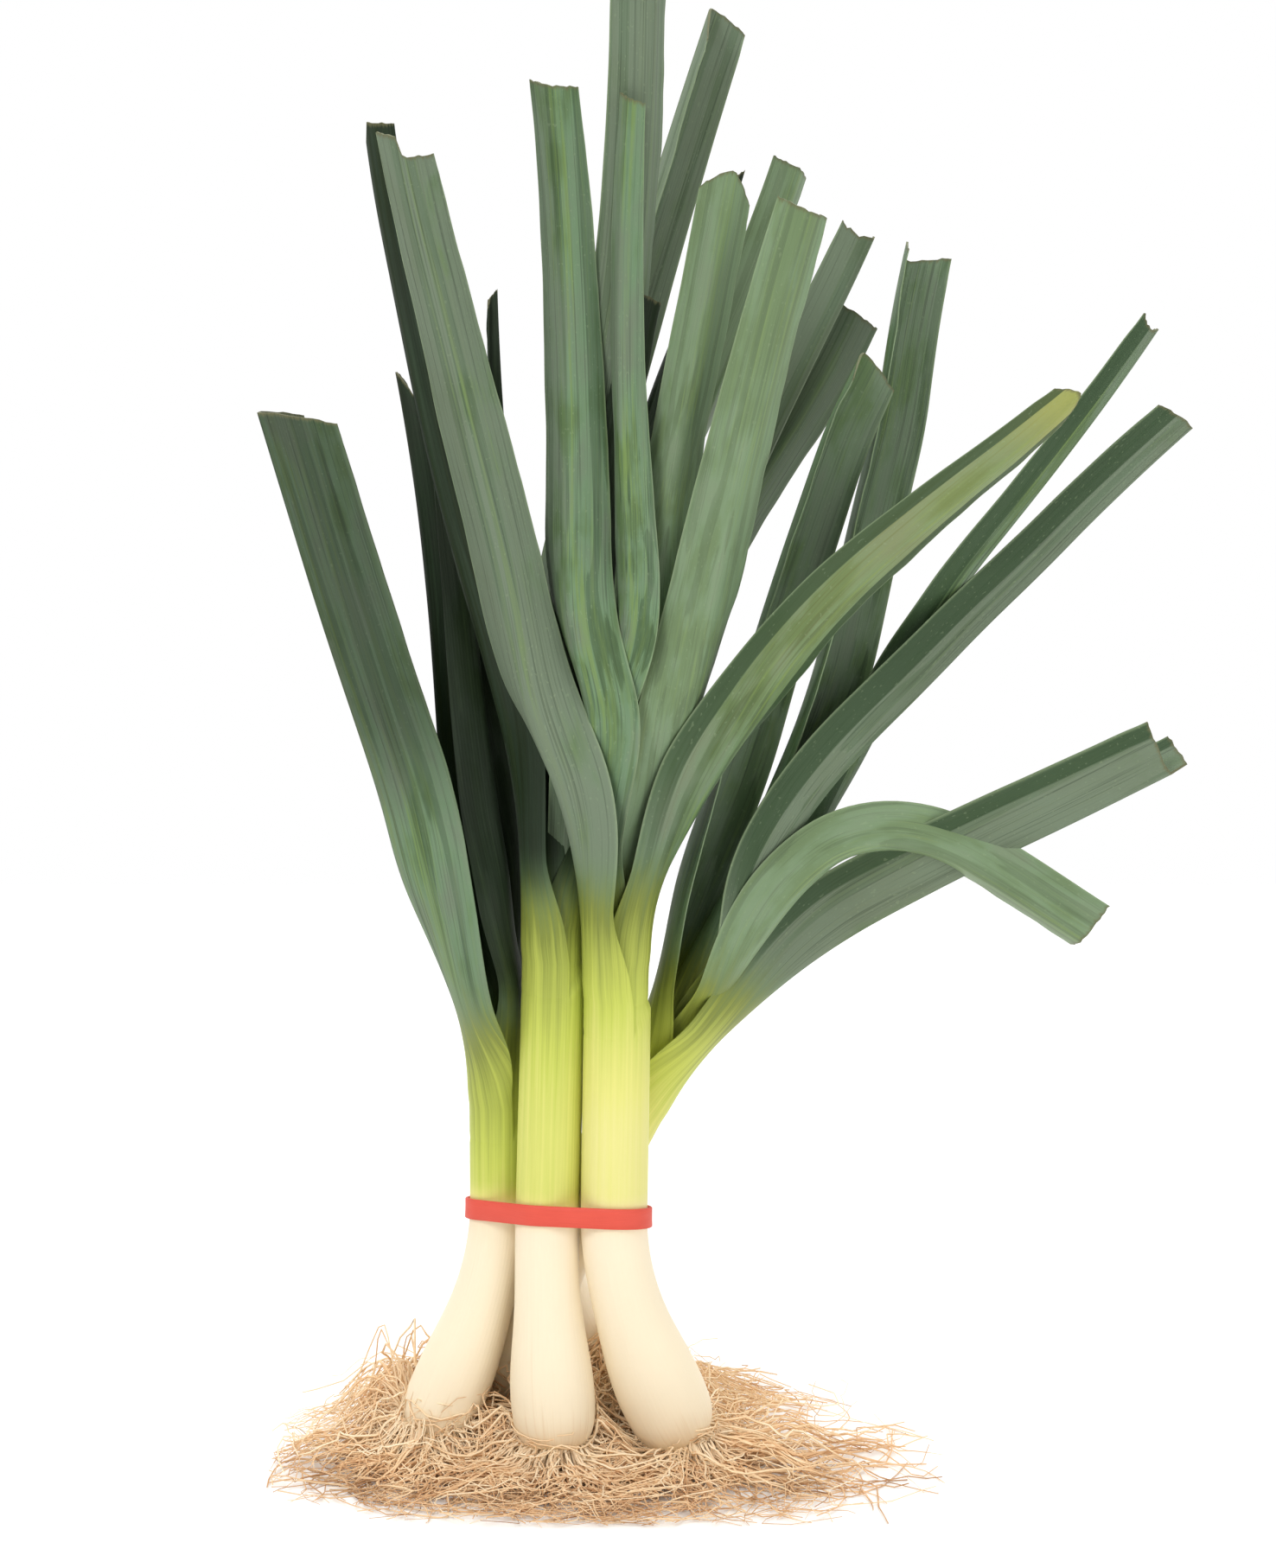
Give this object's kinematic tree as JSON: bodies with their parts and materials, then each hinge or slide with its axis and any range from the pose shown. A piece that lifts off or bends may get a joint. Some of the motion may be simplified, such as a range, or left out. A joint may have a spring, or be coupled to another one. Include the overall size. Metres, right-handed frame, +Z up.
{
  "type": "bunch of leeks",
  "caption": "Bunch of leeks standing on splayed white shanks with spread roots, held by a flat rubber band, their long folded leaves fanning out above.",
  "frame": {"origin": "on the flat underside of the front middle leek's roots, under its base plate", "axes": "+Z up along the bunch, +X to the right in the view with three shanks in a row at the front, +Y to the back"},
  "size_m": [0.4065, 0.2603, 0.6709],
  "materials": {
    "shank": "smooth, slightly waxy",
    "leaf": "waxy, matt to satin",
    "root": "dry, fibrous",
    "rubber": "satin"
  },
  "bodies": {
    "root": {"leek_left_shank": "shank", "leek_left_leaf_1": "leaf", "leek_left_leaf_2": "leaf", "leek_left_leaf_3": "leaf", "leek_left_leaf_4": "leaf", "leek_left_roots": "root", "leek_middle_shank": "shank", "leek_middle_leaf_1": "leaf", "leek_middle_leaf_2": "leaf", "leek_middle_leaf_3": "leaf", "leek_middle_leaf_4": "leaf", "leek_middle_roots": "root", "leek_right_shank": "shank", "leek_right_leaf_1": "leaf", "leek_right_leaf_2": "leaf", "leek_right_leaf_3": "leaf", "leek_right_leaf_4": "leaf", "leek_right_leaf_5": "leaf", "leek_right_leaf_6": "leaf", "leek_right_roots": "root", "leek_back_right_shank": "shank", "leek_back_right_leaf_1": "leaf", "leek_back_right_leaf_2": "leaf", "leek_back_right_leaf_3": "leaf", "leek_back_right_leaf_4": "leaf", "leek_back_right_leaf_5": "leaf", "leek_back_right_leaf_6": "leaf", "leek_back_right_roots": "root", "leek_back_shank": "shank", "leek_back_leaf_1": "leaf", "leek_back_leaf_2": "leaf", "leek_back_leaf_3": "leaf", "leek_back_leaf_4": "leaf", "leek_back_leaf_5": "leaf", "leek_back_leaf_6": "leaf", "leek_back_roots": "root", "rubber_band": "rubber"}
  },
  "joints": []
}
